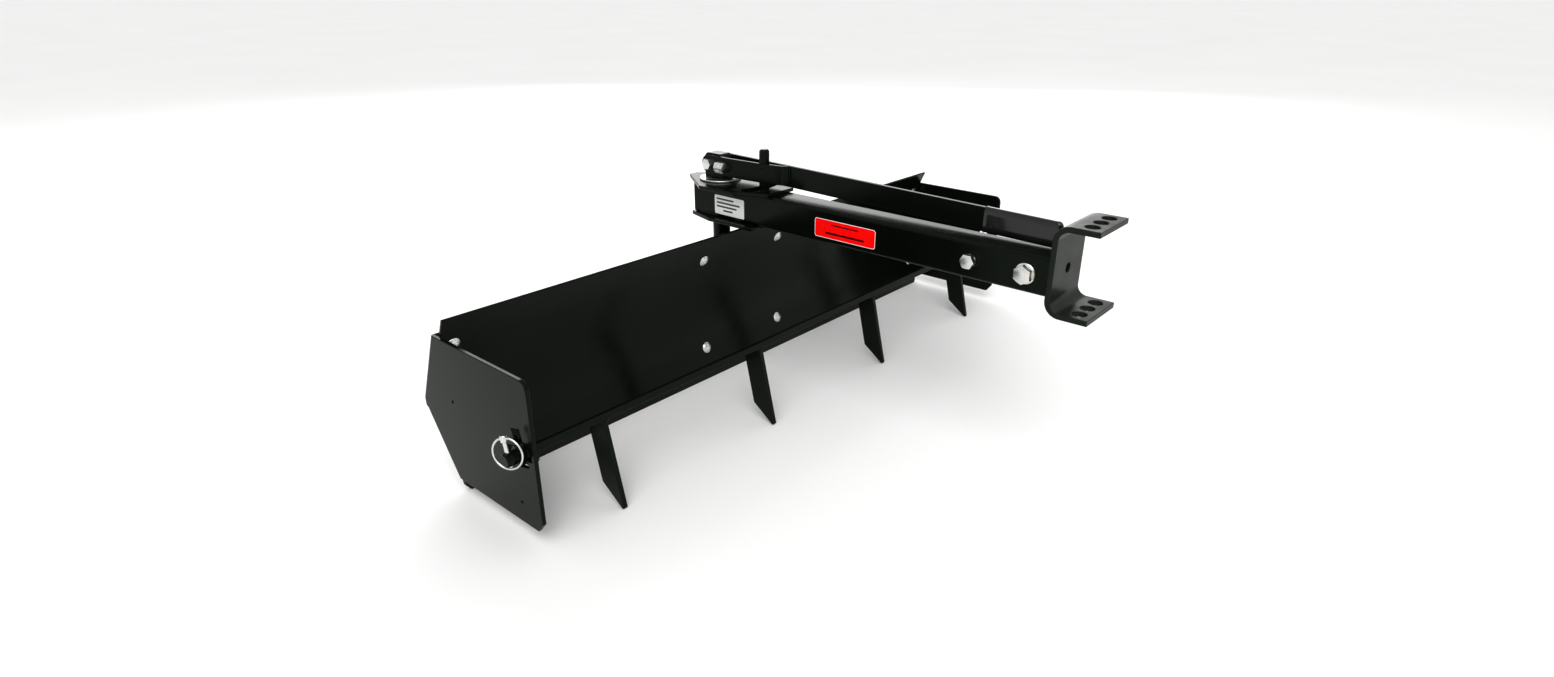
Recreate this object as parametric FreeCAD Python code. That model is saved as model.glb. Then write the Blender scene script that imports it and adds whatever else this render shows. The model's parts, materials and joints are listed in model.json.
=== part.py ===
"""Box scraper for a garden tractor: a grading box with scarifier shanks on a drawbar with a sleeve-hitch bracket.

Axes: +X across the box, +Y to the rear, +Z up. All sizes are millimetres.
The parts are laid out from the pivot post (y = 0) and the ground (z = 0). On export they are moved along Y,
so that the origin is on the ground under the middle of the whole scraper.
"""
import FreeCAD
import Part
import math
import os

# ---- Driving dimensions ------------------------------------------------------------------------------------
OVERALL_WIDTH = 965.2            # across the outer faces of the two end plates, 38 in
PLATE_T = 4.8                    # end plates and index plates
SHEET_T = 3.2                    # moldboard and tube walls
STRAP_T = 6.35                   # cutting edge, mast, lever and hitch bracket
PIVOT_GAP = 0.3                  # between faces that slide over each other
RUNNING_GAP = 0.05               # radial, between a pin and its bore
HOLE_GAP = 0.3                   # radial, between a bolt and its hole

# Moldboard: an arc of constant radius with a straight lower run
BELLY_Y = -31.0
BELLY_Z = 110.7
MOLD_RADIUS = 220.0
MOLD_TOP_Z = 212.0
MOLD_BOTTOM_Z = 14.0
BOLT_ROW_ANGLE = 17.94           # both bolt rows sit this far above and below the belly on the arc
MAST_BOLT_X = 79.0
CORNER_BOLT_X = 462.0
EDGE_HEIGHT = 63.5
EDGE_CHAMFER = 6.0

# Carriage bolts of the moldboard
CARRIAGE_R = 3.97
CARRIAGE_HEAD_R = 7.9
CARRIAGE_HEAD_H = 3.6
CARRIAGE_LIFT = 0.15             # the domes rest on the hollow sheet with their rims
CARRIAGE_NECK = 8.0
CARRIAGE_NUT_AF = 12.7
CARRIAGE_NUT_H = 6.7
CARRIAGE_WASHER_R = 8.7
CARRIAGE_WASHER_T = 1.5

# End plates: outline in (y, z), from the top rear corner round to the front
PLATE_TOP_REAR = (-32.5, 192.0)
PLATE_REAR_UPPER = (5.8, 108.8)
PLATE_REAR_LOWER = (3.2, 90.8)
PLATE_BOTTOM_REAR = (-44.0, 17.5)
PLATE_BOTTOM_FRONT = (-200.0, 17.5)
PLATE_TOE = (-209.0, 29.0)
PLATE_TOP_FRONT = (-208.0, 192.0)
PLATE_FRONT_ROUND = 11.0
PLATE_FLANGE = 12.0
PLATE_BEND_R = 4.5
PLATE_FLANGE_END_Z = 60.0        # the lower flange stops above the cutting edge
SMALL_HOLES = ((-60.0, 120.6), (-175.0, 43.0))
SMALL_HOLE_R = 1.6

# Scarifier: a square bar with four shanks, leaning with the tips forward
BAR_Y = -186.5
BAR_Z = 106.0
BAR_SIDE = 7.94
SHANK_LEAN = 13.5
SHANK_X = (-381.0, -127.0, 127.0, 381.0)
SHANK_T = 6.35
SHANK_WIDTH = 28.6
SHANK_REAR_END = 79.5
SHANK_TIP_END = 109.4
SHANK_TIP_BLUNT = 2.2
INDEX_ARM = 15.0
INDEX_REACH_UP = 27.0
INDEX_REACH_REAR = 27.0
INDEX_REACH_FRONT = 17.0
INDEX_REACH_DOWN = 15.4
STUB_SHOULDER = 5.5              # how far the full round reaches past the end plate
NOSE_R = 7.5
STUB_END = 20.0
STUB_INNER = 12.6
STUB_COLLAR_R = 15.0
STUB_COLLAR_T = 6.0

# Lynch pins and their rings
LYNCH_OUT = 14.0                 # from the plate's outer face to the pin's centre
LYNCH_R = 2.4
LYNCH_HEAD_R = 3.7
LYNCH_HEAD_LOW = 18.4            # heights along the pin are from the bar's axis
LYNCH_HEAD_TOP = 26.0
LYNCH_TIP = -8.8
RING_RADIUS = 16.8
RING_WIRE_R = 1.25
RING_STRAIGHT = 6.0              # half the straight run of wire that turns in the pin's head
RING_EYE = 22.0
RING_TURN = 25.0                 # the ring hangs at this angle to the stub's end face

# Drawbar
TUBE_SIDE = 44.45
TUBE_CORNER_R = 4.0
TUBE_BOTTOM_Z = 225.05
TUBE_REAR_Y = 33.0
TUBE_FRONT_Y = -520.0
TOP_PLATE_POINTS = ((28.0, -115.0), (52.0, -75.0), (52.0, -8.0), (8.0, 57.0))
BOTTOM_PLATE_POINTS = ((37.0, -95.0), (37.0, -10.0), (24.0, 38.0))
SLOT_HALF_WIDTH = 8.45
SWING = 22.5                     # each way, in degrees
SLEEVE_R = 15.9

# Post and what it carries
POST_R = 12.7
POST_BOTTOM_Z = 58.0
POST_RING_T = 6.35
POST_RING_Z = (78.0, 160.0)
COLLAR_R = 16.0
COLLAR_T = 3.0
WASHER_R = 30.0
WASHER_T = 2.5
FULCRUM_FRONT_Y = -13.0
FULCRUM_REAR_Y = 22.0
FULCRUM_TOP_Z = 311.5

# Lever fork and latch pin
LEVER_PIVOT_Y = 10.0
LEVER_PIVOT_Z = 296.5
LEVER_SLOPE = 1.05               # the fork's front end is lower
FORK_HEIGHT = 26.5
LEVER_HEIGHT = 29.0              # the long bar reaches lower than the strap
FORK_INNER_LEFT = -9.5
FORK_INNER_RIGHT = 12.0
STRAP_PLATE_T = 4.8
STRAP_LINE = ((12.0, -120.5), (3.0, -113.5), (-5.2, -84.0), (-14.3, -24.0))
LEVER_REACH = 516.5
GRIP_REACH = 426.5
GRIP_WALL = 1.0
GRIP_SIDE_WALL = 2.4
FORK_BOLT_SPACING = 29.0
FORK_BOLT_R = 4.76
FORK_BOLT_AF = 14.3
FORK_HEAD_H = 6.0
FORK_NUT_H = 8.3
LATCH_X = 3.2
LATCH_Y = -82.0
LATCH_R = 7.15
LATCH_BOTTOM_Z = 270.1
LATCH_TOP_Z = 327.0
LATCH_BLOCK_HALF = 11.0

# Hitch bracket and its fixing in the drawbar
HITCH_HALF_WIDTH = 38.1
HITCH_BOTTOM_Z = 210.0
HITCH_TOP_Z = 312.5
HITCH_FRONT_Y = -570.0
HITCH_WEB_FRONT_Y = -527.0
HITCH_BEND_R = 18.0
HITCH_PIN_Y = -555.0
HITCH_PIN_X = (-22.5, 0.0, 22.5)
HITCH_PIN_R = 8.0
HITCH_WEB_HOLE_Z = 257.0
HITCH_WEB_HOLE_R = 5.5
TONGUE_REAR_Y = -396.0
TONGUE_GAP = 0.3
# y, shank radius, across flats, head height, washer face radius
SMALL_BOLT = (-420.5, 5.56, 15.9, 6.6, 7.9)
LARGE_BOLT = (-489.0, 6.35, 19.05, 8.0, 12.1)

# ---- Sizes that follow from those ---------------------------------------------------------------------------
HALF_WIDTH = OVERALL_WIDTH / 2
PLATE_INNER = HALF_WIDTH - PLATE_T
ARC_CENTRE_Y = BELLY_Y - MOLD_RADIUS
TUBE_HALF = TUBE_SIDE / 2
TUBE_TOP_Z = TUBE_BOTTOM_Z + TUBE_SIDE
TUBE_MID_Z = TUBE_BOTTOM_Z + TUBE_HALF
TOP_PLATE_Z = TUBE_TOP_Z + PLATE_T
BOTTOM_PLATE_Z = TUBE_BOTTOM_Z - PLATE_T
WASHER_BOTTOM_Z = TOP_PLATE_Z + PIVOT_GAP
POST_TOP_Z = WASHER_BOTTOM_Z + WASHER_T
LATCH_RADIUS = math.hypot(LATCH_X, LATCH_Y)
LATCH_TURN = math.degrees(math.atan2(LATCH_X, -LATCH_Y))
STUB_R = INDEX_ARM / math.sqrt(2) - RUNNING_GAP
POST_FRONT_Y = -POST_R
ORIGIN_Y = (HITCH_FRONT_Y + TOP_PLATE_POINTS[-1][1]) / 2

X_AXIS = FreeCAD.Vector(1, 0, 0)
Y_AXIS = FreeCAD.Vector(0, 1, 0)
Z_AXIS = FreeCAD.Vector(0, 0, 1)


# ---- Shape helpers ------------------------------------------------------------------------------------------
def vec(x, y, z):
    return FreeCAD.Vector(x, y, z)


def block(low, high):
    """A box between two opposite corners."""
    return Part.makeBox(high[0] - low[0], high[1] - low[1], high[2] - low[2], vec(*low))


def rod(start, axis, radius, length):
    return Part.makeCylinder(radius, length, vec(*start), axis)


def turned(shape, axis, degrees, centre=(0, 0, 0)):
    shape = shape.copy()
    shape.rotate(vec(*centre), axis, degrees)
    return shape


def moved(shape, x=0.0, y=0.0, z=0.0):
    shape = shape.copy()
    shape.translate(vec(x, y, z))
    return shape


def mirrored_x(shape):
    return shape.mirror(vec(0, 0, 0), X_AXIS)


def prism_x(points, x_low, x_high):
    """A polygon in (y, z), swept along X."""
    corners = [vec(x_low, y, z) for y, z in points]
    face = Part.Face(Part.makePolygon(corners + corners[:1]))
    return face.extrude(vec(x_high - x_low, 0, 0))


def prism_z(points, z_low, z_high):
    """A polygon in (x, y), swept along Z."""
    corners = [vec(x, y, z_low) for x, y in points]
    face = Part.Face(Part.makePolygon(corners + corners[:1]))
    return face.extrude(vec(0, 0, z_high - z_low))


def prism_y(points, y_low, y_high):
    """A polygon in (x, z), swept along Y."""
    corners = [vec(x, y_low, z) for x, z in points]
    face = Part.Face(Part.makePolygon(corners + corners[:1]))
    return face.extrude(vec(0, y_high - y_low, 0))


def hex_prism(start, axis, across_flats, height):
    """A hexagonal prism along X or Y, with a flat on top."""
    radius = across_flats / math.sqrt(3)
    angles = [math.radians(60 * k) for k in range(6)]
    ring = [(radius * math.cos(a), radius * math.sin(a)) for a in angles]
    if axis == X_AXIS:
        solid = prism_x(ring, 0, height)
    else:
        solid = prism_y(ring, 0, height)
    return moved(solid, *start)


def edges_along(shape, axis, keep):
    """The straight edges of a shape that run along an axis and whose middle passes the keep test."""
    found = []
    for edge in shape.Edges:
        if len(edge.Vertexes) != 2 or edge.Curve.TypeId != "Part::GeomLine":
            continue
        direction = edge.Vertexes[1].Point.sub(edge.Vertexes[0].Point).normalize()
        if abs(direction.dot(axis)) > 0.999 and keep(edge.CenterOfMass):
            found.append(edge)
    return found


def bent_strip(points, thickness):
    """The closed outline of a strip whose left side, walking along the points, is the given line."""
    normals = []
    for (a0, b0), (a1, b1) in zip(points, points[1:]):
        run = math.hypot(a1 - a0, b1 - b0)
        normals.append(((b1 - b0) / run, -(a1 - a0) / run))
    far_side = []
    for k, (a, b) in enumerate(points):
        before = normals[max(k - 1, 0)]
        after = normals[min(k, len(normals) - 1)]
        scale = thickness / (1 + before[0] * after[0] + before[1] * after[1])
        far_side.append((a + (before[0] + after[0]) * scale, b + (before[1] + after[1]) * scale))
    return list(points) + far_side[::-1]


# ---- Places on the moldboard ----------------------------------------------------------------------------------
def arc_point(angle, radius=MOLD_RADIUS):
    turn = math.radians(angle)
    return (ARC_CENTRE_Y + radius * math.cos(turn), BELLY_Z + radius * math.sin(turn))


def along_sheet(angle, depth, rise):
    """A (y, z) point at a depth behind the front face and a rise along the tangent at an arc angle."""
    turn = math.radians(angle)
    y, z = arc_point(angle, MOLD_RADIUS + depth)
    return (y - rise * math.sin(turn), z + rise * math.cos(turn))


def on_moldboard(shape, x, angle):
    """Move a shape made about the origin, with +Y through the sheet, to a place on the front face."""
    y, z = arc_point(angle)
    return moved(turned(shape, X_AXIS, angle), x, y, z)


def bolt_places():
    """(x, arc angle, stack behind the front face) of the eight moldboard bolts."""
    lower_stack = SHEET_T + STRAP_T
    places = []
    for side in (-1, 1):
        places.append((side * MAST_BOLT_X, BOLT_ROW_ANGLE, SHEET_T + STRAP_T))
        places.append((side * MAST_BOLT_X, -BOLT_ROW_ANGLE, lower_stack + STRAP_T))
        places.append((side * CORNER_BOLT_X, BOLT_ROW_ANGLE, SHEET_T + SHEET_T))
        places.append((side * CORNER_BOLT_X, -BOLT_ROW_ANGLE, lower_stack))
    return places


def round_bolt_holes(shape, places):
    for x, angle, _ in places:
        hole = rod((0, -10, 0), Y_AXIS, CARRIAGE_R + HOLE_GAP, 60)
        shape = shape.cut(on_moldboard(hole, x, angle))
    return shape


# ---- Box: moldboard, cutting edge, end plates and their fixings ---------------------------------------------
def moldboard():
    top_angle = math.degrees(math.asin((MOLD_TOP_Z - BELLY_Z) / MOLD_RADIUS))
    low_angle = -BOLT_ROW_ANGLE
    mid_angle = (top_angle + low_angle) / 2
    drop = (arc_point(low_angle)[1] - MOLD_BOTTOM_Z) / math.cos(math.radians(low_angle))

    def at(angle, radius):
        return vec(-PLATE_INNER, *arc_point(angle, radius))

    def foot(depth):
        return vec(-PLATE_INNER, *along_sheet(low_angle, depth, -drop))

    front, back = MOLD_RADIUS, MOLD_RADIUS + SHEET_T
    edges = [
        Part.Arc(at(top_angle, front), at(mid_angle, front), at(low_angle, front)).toShape(),
        Part.makeLine(at(low_angle, front), foot(0)),
        Part.makeLine(foot(0), foot(SHEET_T)),
        Part.makeLine(foot(SHEET_T), at(low_angle, back)),
        Part.Arc(at(low_angle, back), at(mid_angle, back), at(top_angle, back)).toShape(),
        Part.makeLine(at(top_angle, back), at(top_angle, front)),
    ]
    sheet = Part.Face(Part.Wire(edges)).extrude(vec(2 * PLATE_INNER, 0, 0))
    half = CARRIAGE_NECK / 2 + 0.15
    square = block((-half, -10, -half), (half, 20, half))
    for x, angle, _ in bolt_places():
        sheet = sheet.cut(on_moldboard(square, x, angle))
    return sheet


def cutting_edge():
    """A flat bar behind the foot of the moldboard, with its lower corners trimmed at both ends."""
    low = -arc_point(-BOLT_ROW_ANGLE)[1] / math.cos(math.radians(BOLT_ROW_ANGLE))
    high = low + EDGE_HEIGHT
    front, back = SHEET_T, SHEET_T + STRAP_T
    section = [(front, low - 5), (back, low - 5), (back, high), (front, high)]
    half = PLATE_INNER
    y, z = arc_point(-BOLT_ROW_ANGLE)
    bar = moved(turned(prism_x(section, -half, half), X_AXIS, -BOLT_ROW_ANGLE), 0, y, z)
    below_ground = block((-half, -300, -50), (half, 100, 0))
    bar = bar.cut(below_ground)
    for side in (-1, 1):
        corner = [(side * half, -1.0), (side * (half - EDGE_CHAMFER), -1.0), (side * half, EDGE_CHAMFER)]
        bar = bar.cut(prism_y(corner, -100, 0))
    lower = [place for place in bolt_places() if place[1] < 0]
    return round_bolt_holes(bar, lower)


def carriage_bolt(stack):
    """Domed head in front of the sheet, square neck in it, threaded shank through the stack."""
    radius = (CARRIAGE_HEAD_R ** 2 + CARRIAGE_HEAD_H ** 2) / (2 * CARRIAGE_HEAD_H)
    ball = Part.makeSphere(radius, vec(0, radius - CARRIAGE_HEAD_H - CARRIAGE_LIFT, 0))
    dome = ball.common(block((-20, -20, -20), (20, -CARRIAGE_LIFT, 20)))
    half = CARRIAGE_NECK / 2
    neck = block((-half, -CARRIAGE_LIFT, -half), (half, SHEET_T - 0.2, half))
    length = stack + CARRIAGE_WASHER_T + CARRIAGE_NUT_H + 3.0
    shank = rod((0, 0, 0), Y_AXIS, CARRIAGE_R, length)
    return dome.fuse([neck, shank]).removeSplitter()


def carriage_bolts():
    return [on_moldboard(carriage_bolt(stack), x, angle) for x, angle, stack in bolt_places()]


def carriage_nuts():
    nuts = []
    for x, angle, stack in bolt_places():
        nut = hex_prism((0, stack + CARRIAGE_WASHER_T, 0), Y_AXIS, CARRIAGE_NUT_AF, CARRIAGE_NUT_H)
        nut = nut.cut(rod((0, 0, 0), Y_AXIS, CARRIAGE_R + RUNNING_GAP, 60))
        nuts.append(on_moldboard(nut, x, angle))
    return nuts


def carriage_washers():
    washers = []
    for x, angle, stack in bolt_places():
        disc = rod((0, stack, 0), Y_AXIS, CARRIAGE_WASHER_R, CARRIAGE_WASHER_T)
        disc = disc.cut(rod((0, 0, 0), Y_AXIS, CARRIAGE_R + HOLE_GAP, 60))
        washers.append(on_moldboard(disc, x, angle))
    return washers


def corner_brackets():
    """Small angles behind the moldboard's upper corners, fitted against the end plates and their flanges."""
    front, rear = SHEET_T, 2 * SHEET_T
    outer = PLATE_INNER - CORNER_BOLT_X
    on_sheet = block((-11, front, -9), (outer, rear, 9))
    on_plate = block((outer - SHEET_T, front, -9), (outer, rear + 6, 9))
    angle_iron = on_sheet.fuse(on_plate).removeSplitter()
    angle_iron = angle_iron.cut(rod((0, 0, 0), Y_AXIS, CARRIAGE_R + HOLE_GAP, 60))
    right = on_moldboard(angle_iron, CORNER_BOLT_X, BOLT_ROW_ANGLE).cut(end_plate())
    return [right, mirrored_x(right)]


def index_cross(x_low, x_high):
    """The cross-shaped opening that carries an end of the scarifier, square with the leaning shanks."""
    half = INDEX_ARM / 2
    flat = block((x_low, -INDEX_REACH_FRONT, -half), (x_high, INDEX_REACH_REAR, half))
    upright = block((x_low, -half, -INDEX_REACH_DOWN), (x_high, half, INDEX_REACH_UP))
    return moved(turned(flat.fuse(upright), X_AXIS, -SHANK_LEAN), 0, BAR_Y, BAR_Z)


def end_plate():
    """The plate at +X, with stiffening flanges bent inward along its two slanting rear edges."""
    outline = [
        PLATE_TOP_REAR, PLATE_REAR_UPPER, PLATE_REAR_LOWER, PLATE_BOTTOM_REAR,
        PLATE_BOTTOM_FRONT, PLATE_TOE, PLATE_TOP_FRONT,
    ]
    plate = prism_x(outline, PLATE_INNER, HALF_WIDTH)
    top_front = edges_along(plate, X_AXIS, lambda c: c.y < -150 and c.z > 150)
    plate = plate.makeFillet(PLATE_FRONT_ROUND, top_front)
    flange_low = HALF_WIDTH - PLATE_FLANGE
    for start, end in ((PLATE_TOP_REAR, PLATE_REAR_UPPER), (PLATE_REAR_LOWER, PLATE_BOTTOM_REAR)):
        strip = bent_strip([start, end], PLATE_T)
        plate = plate.fuse(prism_x(strip, flange_low, HALF_WIDTH))
    plate = plate.removeSplitter()
    upper_run = vec(0, PLATE_REAR_UPPER[0] - PLATE_TOP_REAR[0], PLATE_REAR_UPPER[1] - PLATE_TOP_REAR[1])
    lower_run = vec(0, PLATE_REAR_LOWER[0] - PLATE_BOTTOM_REAR[0], PLATE_REAR_LOWER[1] - PLATE_BOTTOM_REAR[1])
    for run in (upper_run, lower_run):
        bend = edges_along(plate, run.normalize(), lambda c: abs(c.x - HALF_WIDTH) < 0.01)
        plate = plate.makeFillet(PLATE_BEND_R, bend)
    plate = plate.cut(block((flange_low - 1, -300, 0), (PLATE_INNER, 100, PLATE_FLANGE_END_Z)))
    plate = plate.cut(index_cross(PLATE_INNER - 1, HALF_WIDTH + 1))
    for y, z in SMALL_HOLES:
        plate = plate.cut(rod((PLATE_INNER - 1, y, z), X_AXIS, SMALL_HOLE_R, PLATE_T + 2))
    return plate


# ---- Mast behind the moldboard and the pivot post -------------------------------------------------------------
def mast():
    """A bent plate: flanges bolted behind the moldboard above and below, and an upright web between."""
    web_y = POST_FRONT_Y - STRAP_T
    upper, lower = SHEET_T, SHEET_T + STRAP_T
    line = [
        along_sheet(BOLT_ROW_ANGLE, upper, 13),
        along_sheet(BOLT_ROW_ANGLE, upper, -13),
        (web_y, 147.0),
        (web_y, 72.0),
        along_sheet(-BOLT_ROW_ANGLE, lower, 13),
        along_sheet(-BOLT_ROW_ANGLE, lower, -13),
    ]
    outline = bent_strip(line[::-1], STRAP_T)
    plate = prism_x(outline, -MAST_BOLT_X - 21, MAST_BOLT_X + 21)
    places = [place for place in bolt_places() if abs(place[0]) < CORNER_BOLT_X]
    return round_bolt_holes(plate, places)


def post_brackets():
    """Two horizontal plates welded to the mast that hold the post."""
    plates = []
    for z in POST_RING_Z:
        outline = [(-34, POST_FRONT_Y), (34, POST_FRONT_Y), (20, 20), (-20, 20)]
        plate = prism_z(outline, z, z + POST_RING_T)
        plates.append(plate.cut(rod((0, 0, z - 1), Z_AXIS, POST_R + RUNNING_GAP, POST_RING_T + 2)))
    return plates


def pivot_post():
    return rod((0, 0, POST_BOTTOM_Z), Z_AXIS, POST_R, POST_TOP_Z - POST_BOTTOM_Z)


def disc_on_post(radius, z, thickness):
    disc = rod((0, 0, z), Z_AXIS, radius, thickness)
    return disc.cut(rod((0, 0, z - 1), Z_AXIS, POST_R + RUNNING_GAP, thickness + 2))


def fork_bolt_axis(shift):
    """(y, z) on the fork's centre line, a distance ahead of its pivot."""
    slope = math.radians(LEVER_SLOPE)
    return (LEVER_PIVOT_Y - shift * math.cos(slope), LEVER_PIVOT_Z - shift * math.sin(slope))


def fulcrum_block():
    """The block on the pivot washer that the fork straddles, with rounded upper edges."""
    low = FORK_INNER_LEFT + PIVOT_GAP
    high = FORK_INNER_RIGHT - PIVOT_GAP
    body = block((low, FULCRUM_FRONT_Y, POST_TOP_Z), (high, FULCRUM_REAR_Y, FULCRUM_TOP_Z))
    body = body.makeFillet(7.0, edges_along(body, X_AXIS, lambda c: c.z > FULCRUM_TOP_Z - 1))
    start = (low - 1, LEVER_PIVOT_Y, LEVER_PIVOT_Z)
    return body.cut(rod(start, X_AXIS, FORK_BOLT_R + RUNNING_GAP, high - low + 2))


# ---- Lever fork with the latch pin ----------------------------------------------------------------------------
def sloped(shape):
    """Tilt a shape laid level along -Y from the pivot to the fork's slope."""
    return turned(shape, X_AXIS, LEVER_SLOPE, (0, LEVER_PIVOT_Y, LEVER_PIVOT_Z))


def fork_side(shape, x_low, x_high):
    """Round the rear end of a side of the fork and drill it for the two bolts."""
    rear = edges_along(shape, X_AXIS, lambda c: c.y > LEVER_PIVOT_Y)
    shape = shape.makeFillet(FORK_HEIGHT / 2 - 0.05, rear)
    for shift in (0.0, FORK_BOLT_SPACING):
        start = (x_low - 1, LEVER_PIVOT_Y - shift, LEVER_PIVOT_Z)
        shape = shape.cut(rod(start, X_AXIS, FORK_BOLT_R + RUNNING_GAP, x_high - x_low + 2))
    return shape


def lever_bar():
    top = LEVER_PIVOT_Z + FORK_HEIGHT / 2
    right = FORK_INNER_RIGHT + STRAP_T
    bar = block(
        (FORK_INNER_RIGHT, LEVER_PIVOT_Y - LEVER_REACH, top - LEVER_HEIGHT),
        (right, LEVER_PIVOT_Y + FORK_HEIGHT / 2, top),
    )
    bar = bar.makeFillet(5.0, edges_along(bar, X_AXIS, lambda c: c.y < -400))
    return sloped(fork_side(bar, FORK_INNER_RIGHT, right))


def lever_strap():
    """The shorter side of the fork: it slants in past the latch pin, and its end is bent to meet the lever bar."""
    half = FORK_HEIGHT / 2
    rear = (FORK_INNER_LEFT - STRAP_PLATE_T, LEVER_PIVOT_Y + half)
    outline = bent_strip(list(STRAP_LINE) + [rear], STRAP_PLATE_T)
    strap = prism_z(outline, LEVER_PIVOT_Z - half, LEVER_PIVOT_Z + half)
    past_bar = block((FORK_INNER_RIGHT, -200, 0), (50, 0, 400))
    strap = strap.cut(past_bar)
    corner_x, corner_y = STRAP_LINE[1]
    corner = edges_along(strap, Z_AXIS, lambda c: math.hypot(c.x - corner_x, c.y - corner_y) < 0.1)
    strap = strap.makeFillet(6.0, corner)
    strap = sloped(fork_side(strap, rear[0], FORK_INNER_LEFT))
    return strap.cut(rod((LATCH_X, LATCH_Y, 200), Z_AXIS, LATCH_R + RUNNING_GAP, 200))


def lever_grip():
    """A dipped vinyl sleeve, closed at its front end."""
    top = LEVER_PIVOT_Z + FORK_HEIGHT / 2
    low = FORK_INNER_RIGHT - GRIP_SIDE_WALL
    high = FORK_INNER_RIGHT + STRAP_T + GRIP_SIDE_WALL
    front = LEVER_PIVOT_Y - LEVER_REACH - 3.0
    sleeve = block(
        (low, front, top - LEVER_HEIGHT - GRIP_WALL),
        (high, LEVER_PIVOT_Y - GRIP_REACH, top + GRIP_WALL),
    )
    sleeve = sleeve.makeFillet(6.0, edges_along(sleeve, X_AXIS, lambda c: c.y < front + 1))
    sleeve = sleeve.makeFillet(1.8, sleeve.Edges)
    return sloped(sleeve).cut(lever_bar())


def latch_pin():
    pin = rod((LATCH_X, LATCH_Y, LATCH_BOTTOM_Z), Z_AXIS, LATCH_R, LATCH_TOP_Z - LATCH_BOTTOM_Z)
    top_edge = [e for e in pin.Edges if abs(e.BoundBox.ZMin - LATCH_TOP_Z) < 0.01]
    pin = pin.makeChamfer(2.2, top_edge)
    bottom_edge = [e for e in pin.Edges if abs(e.BoundBox.ZMax - LATCH_BOTTOM_Z) < 0.01]
    return pin.makeChamfer(0.8, bottom_edge)


def latch_block():
    """The spacer behind the latch pin, between strap and lever."""
    y, z = fork_bolt_axis(LEVER_PIVOT_Y - LATCH_Y)
    spacer = block((-12.0, LATCH_Y, z - 10), (FORK_INNER_RIGHT, LATCH_Y + LATCH_BLOCK_HALF + 4, z + 8))
    spacer = spacer.cut(rod((LATCH_X, LATCH_Y, z - 20), Z_AXIS, LATCH_R + RUNNING_GAP, 40))
    return max(spacer.cut(lever_strap()).Solids, key=lambda solid: solid.BoundBox.XMax)


def turned_round(shape):
    """Swap a fork fastener's ends between the strap's side and the lever bar's side."""
    middle = (FORK_INNER_LEFT - STRAP_PLATE_T + FORK_INNER_RIGHT + STRAP_T) / 2
    return moved(mirrored_x(shape), 2 * middle)


def fork_bolt(shift):
    y, z = fork_bolt_axis(shift)
    head_x = FORK_INNER_LEFT - STRAP_PLATE_T
    length = FORK_INNER_RIGHT + STRAP_T - head_x + FORK_NUT_H + 2.5
    head = hex_prism((head_x - FORK_HEAD_H, y, z), X_AXIS, FORK_BOLT_AF, FORK_HEAD_H)
    return head.fuse(rod((head_x - 1, y, z), X_AXIS, FORK_BOLT_R, length + 1)).removeSplitter()


def fork_nut(shift):
    y, z = fork_bolt_axis(shift)
    start = FORK_INNER_RIGHT + STRAP_T
    nut = hex_prism((start, y, z), X_AXIS, FORK_BOLT_AF, FORK_NUT_H)
    return nut.cut(rod((start - 1, y, z), X_AXIS, FORK_BOLT_R + RUNNING_GAP, FORK_NUT_H + 2))


def fork_bolts():
    """The pivot bolt and, ahead of it, a bolt put in from the other side."""
    return [fork_bolt(0.0), turned_round(fork_bolt(FORK_BOLT_SPACING))]


def fork_nuts():
    return [fork_nut(0.0), turned_round(fork_nut(FORK_BOLT_SPACING))]


# ---- Scarifier --------------------------------------------------------------------------------------------------
def leaning(shape):
    """Put a shape made about the bar's axis, with its shank straight down, in its working lean."""
    return moved(turned(shape, X_AXIS, -SHANK_LEAN), 0, BAR_Y, BAR_Z)


def bar_end_x():
    return HALF_WIDTH - STUB_INNER


def scarifier_bar():
    half = BAR_SIDE / 2
    end = bar_end_x()
    return leaning(block((-end, -half, -half), (end, half, half)))


def shank(x):
    half = BAR_SIDE / 2
    outline = [
        (-half, -half),
        (-half + SHANK_WIDTH, -half),
        (-half + SHANK_WIDTH, -SHANK_REAR_END),
        (-half + SHANK_TIP_BLUNT, -SHANK_TIP_END),
        (-half, -SHANK_TIP_END + 0.6),
    ]
    return leaning(prism_x(outline, x - SHANK_T / 2, x + SHANK_T / 2))


def bar_end():
    """The stub at +X: a collar inside the end plate, a journal through it and a nose drilled for the lynch pin."""
    start = bar_end_x()
    shoulder = HALF_WIDTH + STUB_SHOULDER
    end = HALF_WIDTH + STUB_END
    nose = rod((start, 0, 0), X_AXIS, NOSE_R, end - start)
    nose = nose.makeChamfer(1.2, [e for e in nose.Edges if abs(e.BoundBox.XMin - end) < 0.01])
    journal = rod((start, 0, 0), X_AXIS, STUB_R, shoulder - start)
    journal = journal.makeChamfer(0.8, [e for e in journal.Edges if abs(e.BoundBox.XMin - shoulder) < 0.01])
    collar_end = PLATE_INNER - PIVOT_GAP
    collar = rod((collar_end - STUB_COLLAR_T, 0, 0), X_AXIS, STUB_COLLAR_R, STUB_COLLAR_T)
    stub = journal.fuse([nose, collar]).removeSplitter()
    return leaning(stub.cut(rod((HALF_WIDTH + LYNCH_OUT, 0, -20), Z_AXIS, LYNCH_R + RUNNING_GAP, 40)))


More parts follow.
